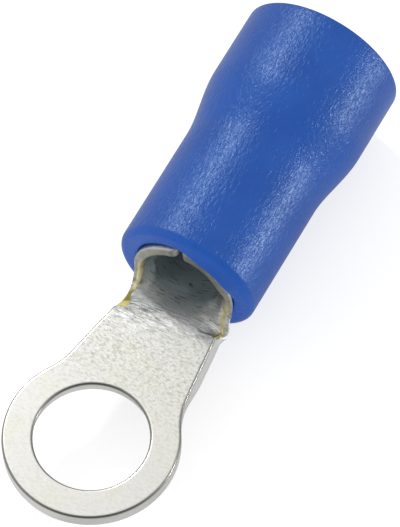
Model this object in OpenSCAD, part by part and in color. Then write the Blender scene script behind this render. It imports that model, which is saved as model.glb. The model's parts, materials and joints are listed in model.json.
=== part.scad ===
// Insulated ring terminal for a 4 mm stud and wire of 1.5 to 2.5 square millimetres.
// Two pieces: a terminal folded from one strip of tinned copper, and a PVC sleeve over its barrel.
// Frame: the origin is the centre of the stud hole at the tongue's underside. +Z is up through
// the hole, and +X runs along the barrel towards the wire. Lengths are in millimetres.

/* [Sheet] */
// Thickness of the copper sheet that the whole terminal is folded from
sheet_t = 0.65; // [0.5:0.05:0.8]

/* [Ring tongue] */
// Diameter of the stud hole
hole_d = 4.3; // [3.2:0.1:4.5]
// Outer diameter of the ring
ring_d = 6.6; // [6.2:0.1:8.5]
// Distance from the centre of the hole to the crease where the neck ends
neck_len = 5.4; // [5:0.1:8]
// Width of the neck at the crease
neck_w = 3.95; // [3.2:0.05:4.2]
// Angle by which each side of the neck leans in towards the barrel
neck_taper = 8.5; // [2:0.5:10]
// Radius of the hollow curve between the ring and the neck
neck_fillet_r = 3; // [1.5:0.1:4]

/* [Formed shoulder] */
// Width of the strip behind the crease, before it curls up
shoulder_w = 4.2; // [3.6:0.05:4.4]
// Length over which the flat strip drops and curls up into the barrel
shoulder_len = 1.65; // [1.4:0.05:3]
// How far the barrel's underside lies below the tongue's underside
barrel_drop = 0.85; // [0.2:0.05:1.2]
// Radius of the hollow curve between the strip's cut edge and the barrel's rim
shoulder_fillet_r = 0.5; // [0.3:0.05:0.9]

/* [Barrel] */
// Bore of the rolled barrel, where the bare wire is crimped
bore_d = 2.7; // [2.3:0.1:3]
// Length of the barrel
barrel_len = 5.05; // [4:0.05:7]
// Bevel inside both ends of the barrel
bore_bevel = 0.25; // [0.05:0.05:0.3]
// Gap between the two butted edges on top of the barrel
seam_gap = 0.06; // [0.04:0.01:0.15]
// Width of the notch where the seam opens at the rim
seam_notch_w = 0.3; // [0.2:0.05:0.6]
// Length of that notch along the barrel
seam_notch_len = 0.35; // [0.1:0.05:0.8]

/* [Insulation sleeve] */
// Wall of the sleeve
sleeve_wall = 0.8; // [0.5:0.05:1.2]
// Inside diameter of the flared end, which takes the wire's insulation
entry_d = 4.8; // [4.4:0.1:6]
// How far the sleeve's front end stands back from the barrel's rim
sleeve_setback = 0.05; // [0:0.05:0.5]
// Length of the funnel behind the barrel
funnel_len = 2.8; // [1.5:0.1:4]
// Length of the flared end behind the funnel
flare_len = 3.1; // [2:0.1:6]
// Rounding of the sleeve's outer edges
sleeve_round = 0.3; // [0.1:0.05:0.35]
// Rounding of the sleeve's inner edges
entry_round = 0.15; // [0.05:0.05:0.2]

/* [Fits] */
// Gap all round between the barrel and the sleeve
sleeve_fit = 0.02; // [0.01:0.01:0.05]

/* [Hidden] */
$fn = 96;

bore_r = bore_d / 2;
barrel_r = bore_r + sheet_t;
fold_r = bore_r + sheet_t / 2;
axis_z = barrel_r - barrel_drop;
rim_x = neck_len + shoulder_len;
barrel_end_x = rim_x + barrel_len;
shoulder_r = min(shoulder_fillet_r, shoulder_len);

sleeve_front_x = rim_x + sleeve_setback;
grip_r = barrel_r + sleeve_fit;
entry_r = entry_d / 2;
flare_x = barrel_end_x + funnel_len;
sleeve_end_x = flare_x + flare_len;

// The formed shoulder lies this far inside the faces of the neck and the barrel that it joins
lap = 0.01;
// The shoulder reaches this far into the neck and the barrel's wall
root = 0.1;
// Number of strips along and across the formed shoulder
shoulder_steps = 18;
fold_steps = 28;
// Number of steps in the sleeve's funnel and in each rounded edge
funnel_steps = 20;
round_steps = 6;
// Cutting shapes reach this far past what they cut
past = 1;

// Smooth step from 0 to 1
function ease(t) = let (c = max(0, min(1, t))) c * c * (3 - 2 * c);

// Points of an arc of radius r about c, from angle a to angle a + turn
function arc(c, r, a, turn) =
    [for (k = [0 : round_steps]) let (t = a + turn * k / round_steps) c + r * [cos(t), sin(t)]];

function backwards(list) = [for (k = [len(list) - 1 : -1 : 0]) list[k]];

// ---- Ring tongue -------------------------------------------------------------------------

// The neck's side runs along neck_dir, and neck_out points squarely out of it.
neck_dir = [cos(neck_taper), -sin(neck_taper)];
neck_out = [sin(neck_taper), cos(neck_taper)];
// Centre of the hollow curve, which touches the ring and the neck's side
fillet_out = neck_out * [neck_len, neck_w / 2] + neck_fillet_r;
fillet_along = sqrt(pow(ring_d / 2 + neck_fillet_r, 2) - pow(fillet_out, 2));
fillet_c = fillet_out * neck_out + fillet_along * neck_dir;
// Directions from that centre to the ring and to the neck's side
to_ring = 180 + atan2(fillet_c.y, fillet_c.x);
to_neck = 270 - neck_taper;

// One side of the neck, from the ring to the crease
neck_side = concat(arc(fillet_c, neck_fillet_r, to_ring, to_neck - to_ring), [[neck_len, neck_w / 2]]);

module tongue() {
    difference() {
        linear_extrude(sheet_t) {
            circle(d = ring_d);
            polygon(concat([[0, 0]], [for (p = neck_side) [p.x, -p.y]], backwards(neck_side)));
        }
        translate([0, 0, -past]) cylinder(d = hole_d, h = sheet_t + 2 * past);
    }
}

// ---- Formed shoulder ---------------------------------------------------------------------
// Each section is a blend of a flat strip and the barrel's arc, with the same length along the
// fold. The flat strip drops first, and the curl follows, so the floor slopes down into the
// barrel while the cut edges stay low and then rise to the rim.

// Half of the strip's width along the fold: straight, then a hollow curve out to the rim
function strip_half(x) =
    let (d = max(0, min(shoulder_r, x - rim_x + shoulder_r)))
    shoulder_w / 2 + shoulder_r - sqrt(pow(shoulder_r, 2) - pow(d, 2));

function curl(x) = ease((x - neck_len) / shoulder_len);
function strip_z(x) =
    sheet_t / 2 - barrel_drop * ease((x - neck_len) / (0.9 * shoulder_len));

// Point [y, z] of the section at x, at s along the fold and at offset h above its middle
function fold_point(x, s, h) =
    let (b = curl(x), a = s / fold_r * 180 / PI,
         along = [1 - b + b * cos(a), b * sin(a)],
         up = [-along.y, along.x] / norm(along))
    [(1 - b) * s + b * fold_r * sin(a), (1 - b) * strip_z(x) + b * (axis_z - fold_r * cos(a))]
    + h * up;

function section(x, h) =
    let (w = strip_half(x))
    [for (k = [0 : fold_steps])
        let (p = fold_point(x, w * (2 * k / fold_steps - 1), h)) [x, p.x, p.y]];

module shoulder() {
    xs = concat([neck_len - root],
                [for (i = [0 : shoulder_steps]) neck_len + shoulder_len * i / shoulder_steps],
                [rim_x + bore_bevel + root]);
    h = sheet_t / 2 - lap;
    n = fold_steps + 1;
    last = len(xs) - 1;
    points = [for (x = xs) each concat(section(x, h), section(x, -h))];
    // Corners of station i: k counts along the fold, and top says which face of the sheet
    function at(i, k, top) = i * 2 * n + (top ? 0 : n) + k;
    skin = [for (i = [0 : last - 1], k = [0 : fold_steps - 1]) each [
        [at(i, k, true), at(i + 1, k + 1, true), at(i + 1, k, true)],
        [at(i, k, true), at(i, k + 1, true), at(i + 1, k + 1, true)],
        [at(i, k, false), at(i + 1, k + 1, false), at(i, k + 1, false)],
        [at(i, k, false), at(i + 1, k, false), at(i + 1, k + 1, false)]]];
    edges = [for (i = [0 : last - 1]) each [
        [at(i, 0, true), at(i + 1, 0, false), at(i, 0, false)],
        [at(i, 0, true), at(i + 1, 0, true), at(i + 1, 0, false)],
        [at(i, n - 1, true), at(i + 1, n - 1, false), at(i + 1, n - 1, true)],
        [at(i, n - 1, true), at(i, n - 1, false), at(i + 1, n - 1, false)]]];
    ends = [for (k = [0 : fold_steps - 1]) each [
        [at(0, k, true), at(0, k, false), at(0, k + 1, false), at(0, k + 1, true)],
        [at(last, k, true), at(last, k + 1, true), at(last, k + 1, false), at(last, k, false)]]];
    polyhedron(points, concat(skin, edges, ends), convexity = 4);
}

// ---- Barrel ------------------------------------------------------------------------------

// Cone that bevels the bore's end at x, opening towards -X or, if rear, towards +X
module bore_end(x, rear = false) {
    translate([x, 0, axis_z]) rotate([0, rear ? 90 : -90, 0]) translate([0, 0, -bore_bevel])
        cylinder(r1 = bore_r, r2 = bore_r + bore_bevel * 2, h = bore_bevel * 2);
}

module barrel() {
    difference() {
        translate([rim_x, 0, axis_z]) rotate([0, 90, 0]) cylinder(r = barrel_r, h = barrel_len);
        translate([rim_x - past, 0, axis_z]) rotate([0, 90, 0])
            cylinder(r = bore_r, h = barrel_len + 2 * past);
        bore_end(rim_x);
        bore_end(barrel_end_x, rear = true);
        translate([0, 0, axis_z]) linear_extrude(barrel_r + past) seam();
    }
}

// Plan of the butt seam, which opens into a notch at the rim
module seam() {
    translate([rim_x - past, -seam_gap / 2]) square([barrel_len + 2 * past, seam_gap]);
    polygon([[rim_x - lap, seam_notch_w / 2], [rim_x + seam_notch_len, 0],
             [rim_x - lap, -seam_notch_w / 2]]);
}

module terminal() {
    color("silver") {
        tongue();
        shoulder();
        barrel();
    }
}

// ---- Insulation sleeve -------------------------------------------------------------------

// Points of a side that runs from radius r0 before the funnel to r1 behind it, as [radius, x]
function funnel(r0, r1) =
    [for (k = [0 : funnel_steps]) let (u = k / funnel_steps)
        [r0 + (r1 - r0) * ease(u), barrel_end_x + funnel_len * u]];

module insulation_sleeve() {
    outer_front_r = grip_r + sleeve_wall;
    outer_rear_r = entry_r + sleeve_wall;
    profile = concat(
        arc([outer_front_r - sleeve_round, sleeve_front_x + sleeve_round], sleeve_round, -90, 90),
        funnel(outer_front_r, outer_rear_r),
        arc([outer_rear_r - sleeve_round, sleeve_end_x - sleeve_round], sleeve_round, 0, 90),
        arc([entry_r + entry_round, sleeve_end_x - entry_round], entry_round, 90, 90),
        backwards(funnel(grip_r, entry_r)),
        arc([grip_r + entry_round, sleeve_front_x + entry_round], entry_round, 180, 90));
    color("royalblue") translate([0, 0, axis_z]) rotate([0, 90, 0])
        rotate_extrude() polygon(profile);
}

terminal();
insulation_sleeve();
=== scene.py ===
import functools
import json
import math

import bpy
import numpy as np
from mathutils import Matrix, Vector
from mathutils.geometry import delaunay_2d_cdt


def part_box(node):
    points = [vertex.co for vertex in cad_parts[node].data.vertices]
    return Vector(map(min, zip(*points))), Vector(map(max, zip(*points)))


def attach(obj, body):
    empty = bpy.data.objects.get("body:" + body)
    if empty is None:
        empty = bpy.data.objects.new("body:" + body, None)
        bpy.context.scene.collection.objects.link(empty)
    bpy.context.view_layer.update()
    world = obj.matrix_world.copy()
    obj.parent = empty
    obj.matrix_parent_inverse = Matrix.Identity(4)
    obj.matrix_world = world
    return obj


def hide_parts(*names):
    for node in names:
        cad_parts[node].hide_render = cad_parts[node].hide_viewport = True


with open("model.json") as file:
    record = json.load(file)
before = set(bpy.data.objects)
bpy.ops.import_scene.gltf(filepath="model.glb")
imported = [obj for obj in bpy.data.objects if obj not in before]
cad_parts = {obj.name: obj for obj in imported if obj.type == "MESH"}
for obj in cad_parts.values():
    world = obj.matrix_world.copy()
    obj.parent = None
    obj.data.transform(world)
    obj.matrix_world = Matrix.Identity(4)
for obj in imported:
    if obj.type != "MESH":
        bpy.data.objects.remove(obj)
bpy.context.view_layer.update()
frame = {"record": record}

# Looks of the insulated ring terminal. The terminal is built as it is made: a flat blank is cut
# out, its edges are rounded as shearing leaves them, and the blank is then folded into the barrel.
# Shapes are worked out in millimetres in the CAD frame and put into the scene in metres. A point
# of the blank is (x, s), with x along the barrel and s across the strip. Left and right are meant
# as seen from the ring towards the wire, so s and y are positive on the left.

MM = 0.001
QUARTER = math.pi / 2    # a quarter turn

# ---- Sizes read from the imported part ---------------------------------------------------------

mounts = {m["name"]: m for m in frame["record"]["mounts"]}
BORE_BEVEL = 0.25        # bevel inside both ends of the barrel, which the bore mount leaves out
SLEEVE_FIT = 0.02        # gap all round between the barrel and the sleeve
terminal_lo, terminal_hi = (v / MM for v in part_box("terminal"))
sleeve_lo, sleeve_hi = (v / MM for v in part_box("insulation_sleeve"))

HOLE_R = mounts["stud_hole"]["dims"]["r_mm"]
RING_R = -terminal_lo.x
SHEET_T = mounts["tongue_top"]["pos_m"][2] / MM
BORE_R = mounts["wire_barrel"]["dims"]["r_mm"]
AXIS_Z = mounts["wire_barrel"]["pos_m"][2] / MM
BARREL_R = BORE_R + SHEET_T
FOLD_R = BORE_R + SHEET_T / 2
BARREL_END = terminal_hi.x
BARREL_DROP = BARREL_R - AXIS_Z
RIM_X = BARREL_END - mounts["wire_barrel"]["dims"]["length_mm"] - 2 * BORE_BEVEL
ENTRY_R = mounts["insulation_entry"]["dims"]["r_mm"]
SLEEVE_FRONT, SLEEVE_END = sleeve_lo.x, sleeve_hi.x
SLEEVE_REAR_R = sleeve_hi.z - AXIS_Z
SLEEVE_WALL = SLEEVE_REAR_R - ENTRY_R
GRIP_R = BARREL_R + SLEEVE_FIT

# ---- Sizes of the formed neck and shoulder ---------------------------------------------------

NECK_LEN = 5.5           # hole centre to the crease: 0.1 more than in the part, for the die step
NECK_HALF = 1.975        # half of the neck's width at the crease
NECK_TAPER = math.radians(8.5)
NECK_FILLET = 3.0        # hollow curve between the ring and the neck
NECK_SHIFT = 0.07        # how far the neck stands off to the right
SHOULDER_LEN = RIM_X - NECK_LEN
STRIP_HALF = 2.06        # half of the strip's width behind the crease
STRIP_START = 0.5        # how far behind the crease the strip has that width
RIM_FILLET = 0.5         # hollow curve between the strip's edge and the rim
RIM_LEFT = -0.08         # where the two halves of the rim lie, from RIM_X: the fold is
RIM_RIGHT = 0.05         # a little askew, so the right half stands back
RIM_LEAN_LEFT = 0.12     # how much farther forward each half of the rim starts at the fillet
RIM_LEAN_RIGHT = 0.05    # than it ends at the seam
SEAM_GAP = 0.03          # half of the gap along the butt seam
SEAM_ROUND = 0.28        # rounded corners where the seam meets the rim
SEAM_TURN = 0.22         # how far the seam lies off the top, along the fold
CREASE_SKEW = 0.14       # lean of the crease across the neck
CREASE_STEP = 0.17       # step that the forming die leaves at both ends of the crease
FLOOR_LEN = 2.3          # length over which the middle of the floor slopes down into the barrel
EDGE_LAG = 0.22          # how much later the strip's right edge curls than its floor
LEFT_SHARE = 0.35        # share of the right side's late curl and coining that the left shows
COINED = 0.30            # how much thinner the strip's edges are than the sheet

# ---- Sizes of the cut edges ------------------------------------------------------------------

EDGE_ROUND = 0.09        # rounding of the upper corner, inset and height
BREAK_INSET = 0.34       # how much more it is inset where the crease's left end breaks off
BREAK_HEIGHT = 0.18      # and how much higher it is there
LOWER_ROUND = 0.05       # rounding of the lower corner
LOWER_WORN = 0.03        # and how much more there is of it behind the crease
FACE_RIM = 0.03          # narrow strip of the flat face along its rounding
EDGE_FLARE = 0.12        # how much wider the neck is at its underside
EDGE_TORN = 0.09         # and how much more so on the right of the shoulder
HOLE_FLARE = 0.1         # how much wider the hole is at the underside, where the punch left

# ---- Sizes of the sleeve ---------------------------------------------------------------------

OUTER_LIP = 0.3          # rounding of the front's outer edge
INNER_LIP = 0.12         # rounding of both inner edges
REAR_LIP = 0.08          # rounding of the rear's outer edge
FUNNEL_LEN = 2.8         # the bore widens over this length behind the barrel's end
SWELL_START = 0.1        # the outside starts to widen this far behind it
SWELL_LEN = 2.9          # and widens over this length
LIP_FORWARD = 0.12       # bulge of the sleeve's front lip, forwards
LIP_OVERHANG = 0.20      # and over the rim


def ease(t):
    """Smooth step from 0 to 1."""
    c = np.clip(t, 0.0, 1.0)
    return c * c * (3 - 2 * c)


def rise(value, start, length):
    """Smooth step that leaves 0 at start and reaches 1 after length."""
    return ease((value - start) / length)


def fall(value, start, length):
    """Smooth step that leaves 1 at start and reaches 0 after length."""
    return 1 - rise(value, start, length)


# ---- Mesh helpers ----------------------------------------------------------------------------

def arc(centre, radius, start, turn, spacing):
    """Points of an arc about centre, starting at the angle start, not farther apart than spacing."""
    n = max(2, int(math.ceil(abs(turn) * radius / spacing)))
    t = start + turn * np.arange(n + 1) / n
    return np.stack([centre[0] + radius * np.cos(t), centre[1] + radius * np.sin(t)], -1)


def line(a, b, spacing):
    """Points from a to b, with both ends."""
    a, b = np.array(a, float), np.array(b, float)
    n = max(1, int(math.ceil(np.linalg.norm(b - a) / spacing)))
    return a + (b - a) * np.arange(n + 1)[:, None] / n


def chain(*parts):
    """Joins point lists into one closed outline without doubled points."""
    pts = np.vstack(parts)
    keep = np.linalg.norm(pts - np.roll(pts, 1, 0), axis=1) > 1e-4
    return pts[keep]


def inward(loop):
    """Offset by one unit at each corner, into what an anticlockwise outline holds. The hole's
    outline is clockwise, so its offset leads into the sheet as well."""
    before = loop - np.roll(loop, 1, 0)
    after = np.roll(loop, -1, 0) - loop
    before /= np.linalg.norm(before, axis=1)[:, None]
    after /= np.linalg.norm(after, axis=1)[:, None]
    n1 = np.stack([-before[:, 1], before[:, 0]], -1)
    n2 = np.stack([-after[:, 1], after[:, 0]], -1)
    mid = n1 + n2
    mid /= np.linalg.norm(mid, axis=1)[:, None]
    stretch = np.clip((mid * n1).sum(1), 0.5, 1.0)
    return mid / stretch[:, None]


def add_object(name, verts_mm, faces, material, smooth=True):
    """A mesh object from points in millimetres."""
    mesh = bpy.data.meshes.new(name)
    mesh.from_pydata((np.asarray(verts_mm) * MM).tolist(), [], [list(f) for f in faces])
    mesh.validate()
    mesh.update()
    mesh.polygons.foreach_set("use_smooth", [smooth] * len(mesh.polygons))
    mesh.materials.append(material)
    obj = bpy.data.objects.new(name, mesh)
    bpy.context.scene.collection.objects.link(obj)
    return obj


def set_attribute(obj, name, values):
    """Stores one number for each corner point of the mesh, for the materials to read."""
    attribute = obj.data.attributes.new(name, "FLOAT", "POINT")
    attribute.data.foreach_set("value", np.asarray(values, np.float32))


# ---- Blank of the terminal -------------------------------------------------------------------

# Spacing of the outline's points
FINE = 0.045             # where the blank is formed
COARSE = 0.09            # elsewhere
SQUARE = 0.16            # at square corners, wide enough that the inset outline doesn't cross itself


def blank_side(neck, half_seam, rim_x, lean):
    """Left side of the blank from the ring to the barrel's end. The rim ends at rim_x, and lean
    is how much farther forward it starts."""
    strip_x = NECK_LEN + STRIP_START
    fillet_x = rim_x - lean - RIM_FILLET
    seam_x = rim_x + SEAM_ROUND
    high = STRIP_HALF + RIM_FILLET
    return chain(
        neck,
        line(neck[-1], (NECK_LEN, NECK_HALF), COARSE),
        line((NECK_LEN, NECK_HALF), (strip_x, STRIP_HALF), FINE),
        line((strip_x, STRIP_HALF), (fillet_x, STRIP_HALF), FINE),
        arc((fillet_x, high), RIM_FILLET, -QUARTER, QUARTER, FINE),
        line((rim_x - lean, high), (rim_x, half_seam - SEAM_ROUND), FINE),
        arc((seam_x, half_seam - SEAM_ROUND), SEAM_ROUND, math.pi, -QUARTER, FINE),
        line((seam_x, half_seam), (BARREL_END, half_seam), SQUARE))


def blank_outline():
    """Anticlockwise outline of the flat blank."""
    out = np.array([math.sin(NECK_TAPER), math.cos(NECK_TAPER)])
    along = np.array([math.cos(NECK_TAPER), -math.sin(NECK_TAPER)])
    fillet_out = out @ np.array([NECK_LEN, NECK_HALF]) + NECK_FILLET
    fillet_along = math.sqrt((RING_R + NECK_FILLET) ** 2 - fillet_out ** 2)
    centre = fillet_out * out + fillet_along * along
    to_ring = math.atan2(centre[1], centre[0])
    to_neck = 3 * QUARTER - NECK_TAPER
    ring = arc((0, 0), RING_R, to_ring, 2 * math.pi - 2 * to_ring, COARSE)
    neck = arc(centre, NECK_FILLET, math.pi + to_ring, to_neck - math.pi - to_ring, COARSE)
    half = math.pi * FOLD_R - SEAM_GAP
    left = blank_side(neck, half - SEAM_TURN, RIM_X + RIM_LEFT, RIM_LEAN_LEFT)
    right = blank_side(neck, half + SEAM_TURN, RIM_X + RIM_RIGHT, RIM_LEAN_RIGHT) * [1, -1]
    end = line(right[-1], left[-1], SQUARE)
    return chain(ring, right, end, left[::-1])


def outline_distance(loop, pts):
    """Distance of the points from the nearest corner of the outline."""
    near = np.full(len(pts), np.inf)
    for x, s in loop:
        near = np.minimum(near, np.hypot(pts[:, 0] - x, pts[:, 1] - s))
    return near


def inside_outline(loop, pts):
    """Whether each point is inside the outline, by the number of sides that a ray crosses."""
    inside = np.zeros(len(pts), bool)
    for (ax, ay), (bx, by) in zip(loop, np.roll(loop, -1, 0)):
        if ay != by:
            crosses = (ay > pts[:, 1]) != (by > pts[:, 1])
            inside ^= crosses & (pts[:, 0] < ax + (pts[:, 1] - ay) * (bx - ax) / (by - ay))
    return inside


def lattice(loop, hole):
    """Points inside the outline and clear of the hole, close together where the sheet is formed
    and wider apart elsewhere."""
    close, wide, margin = 0.055, 0.16, 0.02
    pts = []
    x, row = -RING_R + 0.1, 0
    half = math.pi * FOLD_R + SEAM_TURN
    while x < BARREL_END:
        step = close if NECK_LEN - 0.45 < x < RIM_X + 0.5 else wide
        reach = half if x > RIM_X + 2 * RIM_LEFT else RING_R
        s = np.arange(-reach + (row % 2) * step / 2, reach, step)
        pts.append(np.stack([np.full_like(s, x), s], -1))
        x += step * 0.87     # the height of an equal-sided triangle
        row += 1
    pts = np.vstack(pts)
    formed = (pts[:, 0] > NECK_LEN - 0.5) & (pts[:, 0] < RIM_X + 0.5)
    spread = np.where(formed, 0.035, 0.09)
    hole_r = np.hypot(hole[:, 0], hole[:, 1]).max()
    clear = outline_distance(loop, pts) > spread + margin
    clear &= np.hypot(pts[:, 0], pts[:, 1]) > hole_r + 0.06 + margin
    return pts[inside_outline(loop, pts) & clear]


# ---- Folding -----------------------------------------------------------------------------------

def fold(x, s, h, edge):
    """Place in space of the blank's point (x, s) at height h above the middle of the sheet.
    edge is the point's distance from the outline."""
    off = np.abs(s)
    right = rise(-s, 0, 0.5)
    uneven = LEFT_SHARE + (1 - LEFT_SHARE) * right
    upper = ease(h / SHEET_T + 0.5)
    curl = rise(x, NECK_LEN, SHOULDER_LEN)
    # The strip's edges curl up later than its floor, most of all on the right
    late = rise(x, NECK_LEN, 1.0) * fall(x, RIM_X - 0.4 + 0.2 * right, 0.38) * uneven
    curl = curl - EDGE_LAG * late * rise(off, 1.0, 0.8) * fall(off, 2.3, 0.9)
    # The edges drop at once, and the floor between them slopes down gently into the barrel
    quick = (1 - curl) * rise(x, NECK_LEN, 0.9 * SHOULDER_LEN) + curl
    gentle = rise(x, NECK_LEN, FLOOR_LEN)
    drop = BARREL_DROP * (quick + fall(off, 0.5, 1.4) * (gentle - quick))
    # Forming coins the inner corners of the strip, and less so those of the rim's left half
    coined = rise(x, NECK_LEN + 0.1, 0.6) * fall(x, RIM_X + 0.3, 0.6)
    coined = coined * rise(off, 1.2, 0.6) * (1 - uneven * rise(off, 2.5, 0.9))
    h = h - COINED * coined * upper * fall(edge, 0, 0.5)
    # Each section is a blend of the flat strip and the barrel's arc, and h stands square to it
    turn = s / FOLD_R
    along_y = 1 - curl + curl * np.cos(turn)
    along_z = curl * np.sin(turn)
    norm = np.hypot(along_y, along_z)
    y = (1 - curl) * s + curl * FOLD_R * np.sin(turn) - h * along_z / norm
    z = SHEET_T / 2 - drop + curl * FOLD_R * (1 - np.cos(turn)) + h * along_y / norm
    # The die shears a small step at both ends of the crease
    corner = rise(off, 1.15, 0.5) * rise(x, NECK_LEN, 0.07)
    z = z - CREASE_STEP * corner * (1 - curl) ** 2 * upper
    # The crease leans, and the neck stands off to the right
    skew = CREASE_SKEW * rise(x, NECK_LEN - 1.3, 1.2) * fall(x, NECK_LEN, 1.4)
    shift = NECK_SHIFT * rise(x, 2.5, 2.5) * fall(x, NECK_LEN + 0.4, 1.1)
    return np.stack([x - skew * y, y - shift, z], -1)


# ---- Cut edges -----------------------------------------------------------------------------------

def edge_rounding(points):
    """Rounding of the cut edge at the blank's points: inset and height of the upper corner, and
    inset of the lower one. The left end of the crease breaks off in a slope."""
    x, s = points[:, 0], points[:, 1]
    broken = rise(s, 1.2, 0.5) * rise(x, NECK_LEN - 0.1, 0.1) * fall(x, NECK_LEN + 0.25, 0.5)
    worn = rise(x, NECK_LEN + 0.2, 0.5) * fall(x, RIM_X + 0.6, 0.3)
    inset = EDGE_ROUND + BREAK_INSET * broken
    height = EDGE_ROUND + BREAK_HEIGHT * broken
    return inset, height, LOWER_ROUND + LOWER_WORN * worn


def edge_flare(points):
    """How far the lower corner of the cut edge stands out beyond the upper one."""
    x, s = points[:, 0], points[:, 1]
    left = s > 0
    end = np.where(left, NECK_LEN + 0.1, NECK_LEN + 1.1)
    length = np.where(left, 0.35, 0.6)
    torn = EDGE_TORN * rise(x, NECK_LEN + 0.3, 0.6) * rise(-s, 0, 0.5)
    return (EDGE_FLARE + torn) * rise(x, 2.6, 1.5) * fall(x, end, length)


def edge_rows(upper, height, lower, flare):
    """Rows of a cut edge from the upper face to the lower one, as (inset, height) of each corner."""
    steps, wall = 5, 5       # strips of faces on each rounding, and on the wall between them
    top, bottom = SHEET_T / 2 - height, lower - SHEET_T / 2
    turns = [QUARTER * k / steps for k in range(steps + 1)]
    # The first row holds the upper face flat up to its rounding
    rows = [(upper + FACE_RIM, np.full_like(upper, SHEET_T / 2))]
    rows += [(upper * (1 - math.sin(t)), SHEET_T / 2 - height * (1 - math.cos(t))) for t in turns]
    rows += [(-flare * k / wall, top + (bottom - top) * k / wall) for k in range(1, wall)]
    rows += [(lower * (1 - math.cos(t)) - flare, bottom - lower * math.sin(t)) for t in turns]
    return rows


def bare_metal(x, s, depth):
    """Share of bare metal at a depth from 0 to 1 below the upper face: the upper part of the
    formed edges broke instead of shearing, so it has no tin. It is wide on the left and a thin
    line on the right."""
    formed = rise(x, NECK_LEN - 0.05, 0.05) * fall(x, RIM_X + 0.6, 0.2)
    strip = fall(np.abs(s), STRIP_HALF + 0.45, 0.9)
    width = np.where(s > 0, 0.62 - 0.25 * rise(x, NECK_LEN + 0.7, 0.4), 0.26)
    return formed * strip * fall(depth, width, 0.14) * (depth > 0)


# ---- Terminal ------------------------------------------------------------------------------------

class Sheet:
    """The terminal while it is made: its corner points in space, its faces, and what the material
    reads at each point."""

    def __init__(self, outline):
        self.outline = outline
        self.verts, self.faces, self.count = [], [], 0
        self.marks = {"bare": [], "inside": [], "sheared": [], "rolled": []}

    def add(self, pts, h, **marks):
        """Adds the blank's points at height h and returns their numbers. Marks not given are 0."""
        self.verts.append(fold(pts[:, 0], pts[:, 1], h, outline_distance(self.outline, pts)))
        for name, values in self.marks.items():
            values.append(np.broadcast_to(marks.get(name, 0.0), len(pts)))
        self.count += len(pts)
        return np.arange(self.count - len(pts), self.count)


def add_cut_edge(sheet, loop, flare, bare):
    """Wall along an outline of the blank. Gives the upper and the lower face's outline, each as
    points of the blank and their numbers. bare is 0 where no bare metal shows."""
    inset = inward(loop)
    upper, height, lower = edge_rounding(loop)
    rows = []
    for d, h in edge_rows(upper, height, lower, flare):
        depth = 0.5 - h / SHEET_T
        rows.append(sheet.add(
            loop + inset * d[:, None], h,
            bare=bare * bare_metal(loop[:, 0], loop[:, 1], depth),
            sheared=rise(depth, 0.06, 0.08) * fall(loop[:, 0], NECK_LEN, 0.5),
            rolled=rise(depth, 0, 0.008) * fall(depth, 0.09, 0.07)))
    for one, two in zip(rows, rows[1:]):
        sheet.faces += zip(one, two, np.roll(two, -1), np.roll(one, -1))
    high = loop + inset * (upper + FACE_RIM)[:, None]
    low = loop + inset * (lower - flare)[:, None]
    return (high, rows[0]), (low, rows[-1])


def add_flat_face(sheet, outer, hole, top):
    """Upper or lower face of the blank between its two outlines."""
    rims = [outer[0], hole[0]]
    inner = lattice(*rims)
    # The upper face is dull inside the barrel and painted darker there as painted shade, from a little
    # farther back on the right
    later = 0.8 * rise(-inner[:, 1], 0.8, 0.6)
    inside = rise(inner[:, 0], NECK_LEN + 0.05 + later, 0.95) if top else 0.0
    height = np.full(len(inner), SHEET_T / 2 if top else -SHEET_T / 2)
    ids = np.concatenate([outer[1], hole[1], sheet.add(inner, height, inside=inside)])
    sides, first = [], 0
    for rim in rims:
        sides += [(first + k, first + (k + 1) % len(rim)) for k in range(len(rim))]
        first += len(rim)
    pts = [Vector(p) for p in np.vstack(rims + [inner]).tolist()]
    _, _, triangles, source, _, _ = delaunay_2d_cdt(pts, sides, [], 1, 1e-7)
    hole_ids = set(hole[1].tolist())
    for triangle in triangles:
        corners = [int(ids[source[i][0]]) for i in triangle]
        if not hole_ids.issuperset(corners):
            sheet.faces.append(corners if top else corners[::-1])


def build_terminal(material):
    """The blank with its cut edges, folded point by point."""
    outline = blank_outline()
    hole = arc((0, 0), HOLE_R, 0, -2 * math.pi, COARSE)[:-1]
    sheet = Sheet(outline)
    edges = (add_cut_edge(sheet, outline, edge_flare(outline), 1.0),
             add_cut_edge(sheet, hole, np.full(len(hole), -HOLE_FLARE), 0.0))
    for face, top in enumerate((True, False)):
        add_flat_face(sheet, edges[0][face], edges[1][face], top)
    obj = add_object("terminal", np.vstack(sheet.verts), sheet.faces, material)
    for name, values in sheet.marks.items():
        set_attribute(obj, name, np.concatenate(values))
    return obj


# ---- Sleeve ------------------------------------------------------------------------------------

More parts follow.
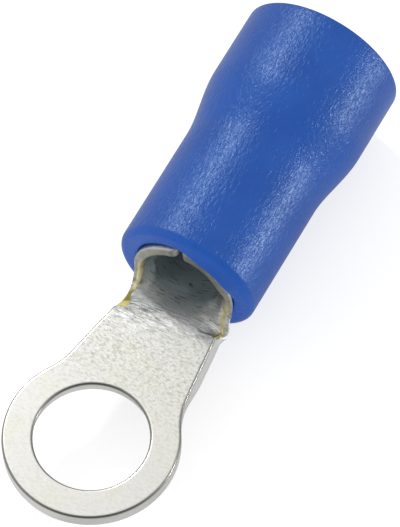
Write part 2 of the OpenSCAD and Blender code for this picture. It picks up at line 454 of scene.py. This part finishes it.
def sleeve_profile():
    """Closed outline of the sleeve's wall as points (x, r), clockwise with x to the right."""
    front_r = GRIP_R + SLEEVE_WALL
    steps = np.linspace(0, 1, 28)

    def widening(start, length, r0, r1):
        return np.stack([start + length * steps, r0 + (r1 - r0) * ease(steps)], -1)

    swell = widening(BARREL_END + SWELL_START, SWELL_LEN, front_r, SLEEVE_REAR_R)
    funnel = widening(BARREL_END, FUNNEL_LEN, GRIP_R, ENTRY_R)[::-1]
    lips = 0.03              # spacing of the points on the rounded edges
    sides = 0.15             # and on the straight sides
    return chain(
        arc((SLEEVE_FRONT + INNER_LIP, GRIP_R + INNER_LIP), INNER_LIP, -QUARTER, -QUARTER, lips),
        arc((SLEEVE_FRONT + OUTER_LIP, front_r - OUTER_LIP), OUTER_LIP, math.pi, -QUARTER, lips),
        line((SLEEVE_FRONT + OUTER_LIP, front_r), swell[0], sides),
        swell,
        line(swell[-1], (SLEEVE_END - REAR_LIP, SLEEVE_REAR_R), sides),
        arc((SLEEVE_END - REAR_LIP, SLEEVE_REAR_R - REAR_LIP), REAR_LIP, QUARTER, -QUARTER, lips),
        arc((SLEEVE_END - INNER_LIP, ENTRY_R + INNER_LIP), INNER_LIP, 0, -QUARTER, lips),
        line((SLEEVE_END - INNER_LIP, ENTRY_R), funnel[0], sides),
        funnel,
        line(funnel[-1], (SLEEVE_FRONT + INNER_LIP, GRIP_R), sides))


def build_sleeve(material):
    """The sleeve turned about its axis. Its front lip bulges over the right half of the rim."""
    profile = sleeve_profile()
    x, r = profile[:, 0], profile[:, 1]
    around, n = 240, len(profile)
    verts, faces = [], []
    at_lip = fall(x, SLEEVE_FRONT, 0.3) * fall(r, BARREL_R, 0.5)
    for i in range(around):
        # The angle runs from the left over the top to the right
        angle = 2 * math.pi * i / around
        bulge = rise(math.degrees(angle), 75, 40) * fall(math.degrees(angle), 145, 35) * at_lip
        out = r - LIP_OVERHANG * bulge
        verts.append(np.stack([x - LIP_FORWARD * bulge, out * math.cos(angle),
                               AXIS_Z + out * math.sin(angle)], -1))
        a, b = i * n, (i + 1) % around * n
        for k in range(n):
            j = (k + 1) % n
            faces.append((a + k, b + k, b + j, a + j))
    return add_object("insulation_sleeve_skin", np.vstack(verts), faces, material)


# ---- Materials ---------------------------------------------------------------------------------

class Graph:
    """Short way to write the nodes of a material or of the world."""

    def __init__(self, tree):
        self.tree = tree

    @functools.cached_property
    def mm(self):
        """Position in the CAD frame, in millimetres."""
        position = self.node("TexCoord").outputs["Object"]
        return self.node("VectorMath", {0: position, "Scale": 1 / MM}, operation="SCALE").outputs[0]

    def node(self, kind, inputs=None, **settings):
        made = self.tree.nodes.new("ShaderNode" + kind)
        for key, value in settings.items():
            setattr(made, key, value)
        for key, value in (inputs or {}).items():
            self.put(made.inputs[key], value)
        return made

    def put(self, socket, value):
        if isinstance(value, bpy.types.NodeSocket):
            self.tree.links.new(value, socket)
        else:
            socket.default_value = value

    def math(self, operation, a, b):
        return self.node("Math", {0: a, 1: b}, operation=operation).outputs[0]

    def times(self, a, b):
        return self.math("MULTIPLY", a, b)

    def mix(self, factor, a, b):
        """Blend of two colours."""
        # Among a Mix node's sockets, inputs 6 and 7 and output 2 are the colours
        made = self.node("Mix", data_type="RGBA")
        self.put(made.inputs[0], factor)
        for socket, colour in ((made.inputs[6], a), (made.inputs[7], b)):
            self.put(socket, (*colour, 1.0) if isinstance(colour, tuple) else colour)
        return made.outputs[2]

    def attribute(self, name):
        return self.node("Attribute", attribute_name=name).outputs["Fac"]

    def noise(self, scale, stretch=(1, 1, 1), detail=3.0, roughness=0.5, distortion=0.0):
        """Noise from 0 to 1; scale is in bumps to the millimetre, and stretch multiplies it by axis."""
        place = self.node("VectorMath", {0: self.mm, 1: stretch}, operation="MULTIPLY").outputs[0]
        return self.node("TexNoise", {"Vector": place, "Scale": scale, "Detail": detail,
                                      "Roughness": roughness, "Distortion": distortion}).outputs["Fac"]

    def ramp(self, value, low, high, to_low=0.0, to_high=1.0):
        """Smooth step of a value between two levels."""
        return self.node("MapRange", {"Value": value, "From Min": low, "From Max": high,
                                      "To Min": to_low, "To Max": to_high},
                         interpolation_type="SMOOTHSTEP").outputs["Result"]

    def bump(self, height, depth_mm, strength=1.0, normal=None):
        made = self.node("Bump", {"Height": height, "Distance": depth_mm * MM, "Strength": strength})
        if normal is not None:
            self.put(made.inputs["Normal"], normal)
        return made.outputs["Normal"]


def new_material(name):
    material = bpy.data.materials.new(name)
    material.use_nodes = True
    graph = Graph(material.node_tree)
    return material, graph, material.node_tree.nodes["Principled BSDF"].inputs


def plain_tin(g, grain, strength):
    """Bright matt tin, a little warmer in patches, with the dark pits of its grain."""
    blotch = g.noise(0.9, detail=2.0)
    tin = g.mix(g.ramp(blotch, 0.4, 0.7), (0.563, 0.558, 0.538), (0.558, 0.553, 0.502))
    pits = g.times(g.ramp(grain, 0.42, 0.70), strength)
    return g.mix(g.times(pits, 0.85), tin, (0.30, 0.30, 0.25))


def formed_tin_and_light(g, tin, y, run, worked, marks):
    """Tin that the forming die wore bright and streaked, with fine lines at the crease from the
    drawing.
    Parts of it are painted light and shade: a painted highlight makes the worn tin lighter on the
    right, dark streak marks grow towards the barrel as painted shade of the sloping floor, and the
    lines at the crease hold painted glints and painted shade.
    """
    # Worn tin of the shoulder, painted lighter on the right as a painted highlight
    rubbed_and_lit = g.mix(g.ramp(y, -1.5, -0.6), (0.92, 0.92, 0.89), (0.66, 0.66, 0.64))
    tin = g.mix(worked, tin, rubbed_and_lit)
    # Dark streak marks, thickening towards the barrel and fainter on the right as painted shade
    streaks_and_shade = g.times(g.times(worked, worked), g.ramp(marks, 0.44, 0.55, 0.0, 0.95))
    tin = g.mix(g.times(streaks_and_shade, g.ramp(y, -1.6, -0.5, 0.15, 1.0)), tin, (0.27, 0.28, 0.28))
    # Lines at the crease, painted dark and bright as painted shade and painted glints
    drawn_glints_and_shade = g.times(g.ramp(run, 4.5, 5.3), g.ramp(run, 6.9, 6.2))
    tin = g.mix(g.times(drawn_glints_and_shade, g.ramp(marks, 0.53, 0.60, 0.0, 0.7)), tin, (0.22, 0.22, 0.20))
    return g.mix(g.times(drawn_glints_and_shade, g.ramp(marks, 0.47, 0.40, 0.0, 0.7)), tin, (0.85, 0.85, 0.83))


def dull_tin_and_shade(g, x, y, marks):
    """Dull tin inside the barrel, scratched lighter and darker across. It is painted darker near the
    mouth as painted shade where the floor slopes in, is lighter and greener deeper in, and holds a
    painted dark reflection below the right half of the rim.
    """
    # Darker near the mouth as painted shade, lighter and greener deeper in
    dull = g.mix(g.ramp(x, 6.6, 7.3), (0.50, 0.52, 0.51), (0.54, 0.62, 0.63))
    # Painted reflection: the wall below the right half of the rim is painted dark where it mirrors the
    # dark inside
    painted_dark_reflection = g.times(g.ramp(y, -0.9, -1.4), g.ramp(x, 6.2, 6.7))
    dull = g.mix(painted_dark_reflection, dull, (0.15, 0.17, 0.18))
    dull = g.mix(g.ramp(marks, 0.55, 0.68), dull, (0.55, 0.58, 0.57))
    return g.mix(g.ramp(marks, 0.46, 0.36), dull, (0.20, 0.22, 0.22))


def cut_tin(g, tin, x):
    """Tin with the smooth sheared band of the cut edges and the dark line where it rolls over. That
    line is partly a real dark border of the shear and partly painted shade.
    """
    sheared = g.mix(g.ramp(x, 0.0, 3.5), (0.80, 0.80, 0.77), (0.93, 0.93, 0.90))
    tin = g.mix(g.times(g.attribute("sheared"), 0.95), tin, sheared)
    # Dark line on the rounded upper corner: partly real dark border, partly painted shade
    return g.mix(g.times(g.attribute("rolled"), 0.75), tin, (0.14, 0.14, 0.13))


def bare_copper_and_shade(g, x):
    """Yellow bare metal with painted light and shade: painted bright at the crease, painted dark as
    shade behind it and painted pale towards the rim, with patches that vary at random.
    """
    # Painted shade behind the crease and painted light towards the rim
    shaded_tone = g.mix(g.ramp(x, 6.15, 6.5), (0.30, 0.25, 0.06), (0.88, 0.83, 0.55))
    # Painted highlight at the crease
    shaded_tone = g.mix(g.ramp(x, 5.75, 5.62), shaded_tone, (0.66, 0.58, 0.22))
    return g.mix(g.ramp(g.noise(3.0), 0.45, 0.7), shaded_tone, (0.66, 0.59, 0.27))


def tinned_copper():
    """Matt tin with a fine pebbly grain, forming marks across the shoulder, bare metal where the
    edges broke, and dull tin inside the barrel. Painted light and shade are mixed in: painted
    highlights, glints and shade on the formed shoulder and its bare edges, a painted dark line on the
    rounded edges, painted shade inside the barrel and a painted dark reflection below the rim."""
    material, g, shader = new_material("tinned_copper")
    x, y, _ = g.node("SeparateXYZ", {0: g.mm}).outputs
    # The formed part starts farther back on the right
    run = g.math("ADD", x, g.times(y, 0.28))
    worked = g.times(g.ramp(run, 5.05, 6.05), g.ramp(x, 7.4, 6.5))
    inside = g.attribute("inside")
    # The grain is weaker on the ring than on the neck
    grain = g.noise(6.5, stretch=(1.9, 0.9, 1.0), detail=4.0, roughness=0.75)
    strength = g.ramp(x, 0.5, 3.5, 0.35, 1.0)
    marks = g.noise(1.9, stretch=(7, 1.1, 1.1), detail=5.0, roughness=0.75, distortion=0.4)

    tin = plain_tin(g, grain, strength)
    tin = formed_tin_and_light(g, tin, y, run, worked, marks)
    # Inside the barrel the colour holds painted shade and a painted dark reflection
    tin = g.mix(inside, tin, dull_tin_and_shade(g, x, y, marks))
    tin = cut_tin(g, tin, x)
    g.put(shader["Base Color"], g.mix(g.attribute("bare"), tin, bare_copper_and_shade(g, x)))
    shader["Metallic"].default_value = 1.0
    g.put(shader["Roughness"], g.ramp(g.math("MAXIMUM", worked, inside), 0.0, 1.0, 0.30, 0.60))
    normal = g.bump(g.times(grain, strength), 0.013, 0.5)
    g.put(shader["Normal"], g.bump(g.times(marks, worked), 0.09, 0.8, normal))
    return material


def blue_pvc():
    """Soft PVC with the fine wrinkled skin that moulding and handling give it."""
    material, g, shader = new_material("blue_pvc")
    skin = g.noise(9.0, stretch=(0.45, 1.0, 1.0), detail=2.0, roughness=0.5, distortion=1.0)
    cloud = g.noise(0.5, detail=2.0)
    colour = g.mix(g.ramp(cloud, 0.35, 0.65), (0.010, 0.063, 0.308), (0.012, 0.072, 0.336))
    g.put(shader["Base Color"], colour)
    shader["Roughness"].default_value = 0.32
    shader["Specular IOR Level"].default_value = 0.34
    shader["Specular Tint"].default_value = (0.62, 0.82, 1.0, 1.0)
    g.put(shader["Normal"], g.bump(skin, 0.030))
    return material


# ---- Camera, lights and floor -------------------------------------------------------------------

def add_camera():
    """Long lens that looks down on the part from in front of the ring, and from its right."""
    azimuth, elevation, roll = (math.radians(a) for a in (-59.575, 61.402, -1.926))
    distance, shift_right, shift_up = 165.08, 3.964, 6.626    # in millimetres
    back = Vector((math.sin(azimuth) * math.cos(elevation), -math.cos(azimuth) * math.cos(elevation),
                   math.sin(elevation)))
    right = Vector((math.cos(azimuth), math.sin(azimuth), 0))
    up = back.cross(right)
    rolled_right = right * math.cos(roll) + up * math.sin(roll)
    rolled_up = up * math.cos(roll) - right * math.sin(roll)
    place = (back * distance + rolled_right * shift_right + rolled_up * shift_up) * MM
    camera = bpy.data.objects.new("camera", bpy.data.cameras.new("camera"))
    camera.matrix_world = Matrix((
        (rolled_right.x, rolled_up.x, back.x, place.x),
        (rolled_right.y, rolled_up.y, back.y, place.y),
        (rolled_right.z, rolled_up.z, back.z, place.z),
        (0, 0, 0, 1)))
    camera.data.lens = 307.5
    camera.data.clip_start = 0.01
    bpy.context.scene.collection.objects.link(camera)
    bpy.context.scene.camera = camera


def add_lamp(name, direction, distance, size, power, gleam=True):
    """Soft lamp that faces the middle of the part. Its first side runs along the barrel. Without
    gleam it only lifts the dull colours: nothing mirrors it, and it throws no shadow."""
    middle = Vector((8, 0, 1)) * MM
    lamp = bpy.data.lights.new(name, "AREA")
    lamp.shape = "RECTANGLE"
    lamp.size, lamp.size_y = (v * MM for v in size)
    lamp.energy = power
    obj = bpy.data.objects.new(name, lamp)
    d = Vector(direction).normalized()
    along = (Vector((1, 0, 0)) - d * d.x).normalized()
    across = d.cross(along)
    obj.matrix_world = Matrix.Translation(middle + d * distance * MM) @ Matrix(
        (along, across, d)).transposed().to_4x4()
    obj.visible_glossy = gleam
    lamp.use_shadow = gleam
    bpy.context.scene.collection.objects.link(obj)
    return obj


def seen_directly(g, gloss=1.0):
    """1 for rays that show the surroundings, from the camera or glass, and gloss for reflections."""
    path = g.node("LightPath").outputs
    seen = g.math("MAXIMUM", path["Is Camera Ray"], g.times(path["Is Glossy Ray"], gloss))
    return g.math("MAXIMUM", seen, path["Is Transmission Ray"])


def add_world(strength, front):
    """White surroundings that light the part with the given strength. The side that faces the
    part's front is not lit as much, so that rounded edges show against the flat faces."""
    world = bpy.data.worlds.new("studio")
    world.use_nodes = True
    bpy.context.scene.world = world
    g = Graph(world.node_tree)
    direction = g.node("TexCoord").outputs["Generated"]
    facing = g.node("VectorMath", {0: direction, 1: Vector(front).normalized()},
                    operation="DOT_PRODUCT").outputs["Value"]
    reflected = g.node("LightPath").outputs["Is Glossy Ray"]
    dim = g.times(reflected, g.ramp(facing, 0.35, 0.8, 0.0, 0.8))
    level = g.node("MapRange", {"Value": seen_directly(g), "To Min": strength, "To Max": 1.0})
    background = world.node_tree.nodes["Background"].inputs
    background["Color"].default_value = (1, 1, 1, 1)
    g.put(background["Strength"], g.math("SUBTRACT", level.outputs["Result"], dim))


def add_floor():
    """White floor under the part. It keeps the part's shadow."""
    half = 3000              # reaches past every picture
    z = min(sleeve_lo.z, terminal_lo.z)
    material, g, shader = new_material("floor_white")
    shader["Base Color"].default_value = (0.50, 0.50, 0.50, 1)
    shader["Roughness"].default_value = 0.9
    shader["Emission Color"].default_value = (1, 1, 1, 1)
    g.put(shader["Emission Strength"], g.times(seen_directly(g, 0.3), 0.65))
    corners = [(-half, -half, z), (half, -half, z), (half, half, z), (-half, half, z)]
    add_object("floor", corners, [(0, 1, 2, 3)], material, smooth=False)


# ---- Assembly -----------------------------------------------------------------------------------

terminal = build_terminal(tinned_copper())
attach(terminal, "root")
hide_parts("terminal")

sleeve = build_sleeve(blue_pvc())
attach(sleeve, "root")
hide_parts("insulation_sleeve")

add_camera()
add_world(0.75, (-0.83, -0.49, 0.26))
add_lamp("key", (0.41, 0.565, 0.715), 300, (20, 50), 0.40)
add_lamp("side", (0.41, -0.9, 0.04), 300, (20, 24), 0.34)
add_lamp("fill", (-1.0, -0.1, 0.05), 300, (60, 60), 0.6, gleam=False)
add_floor()
bpy.context.scene.view_settings.view_transform = "Standard"
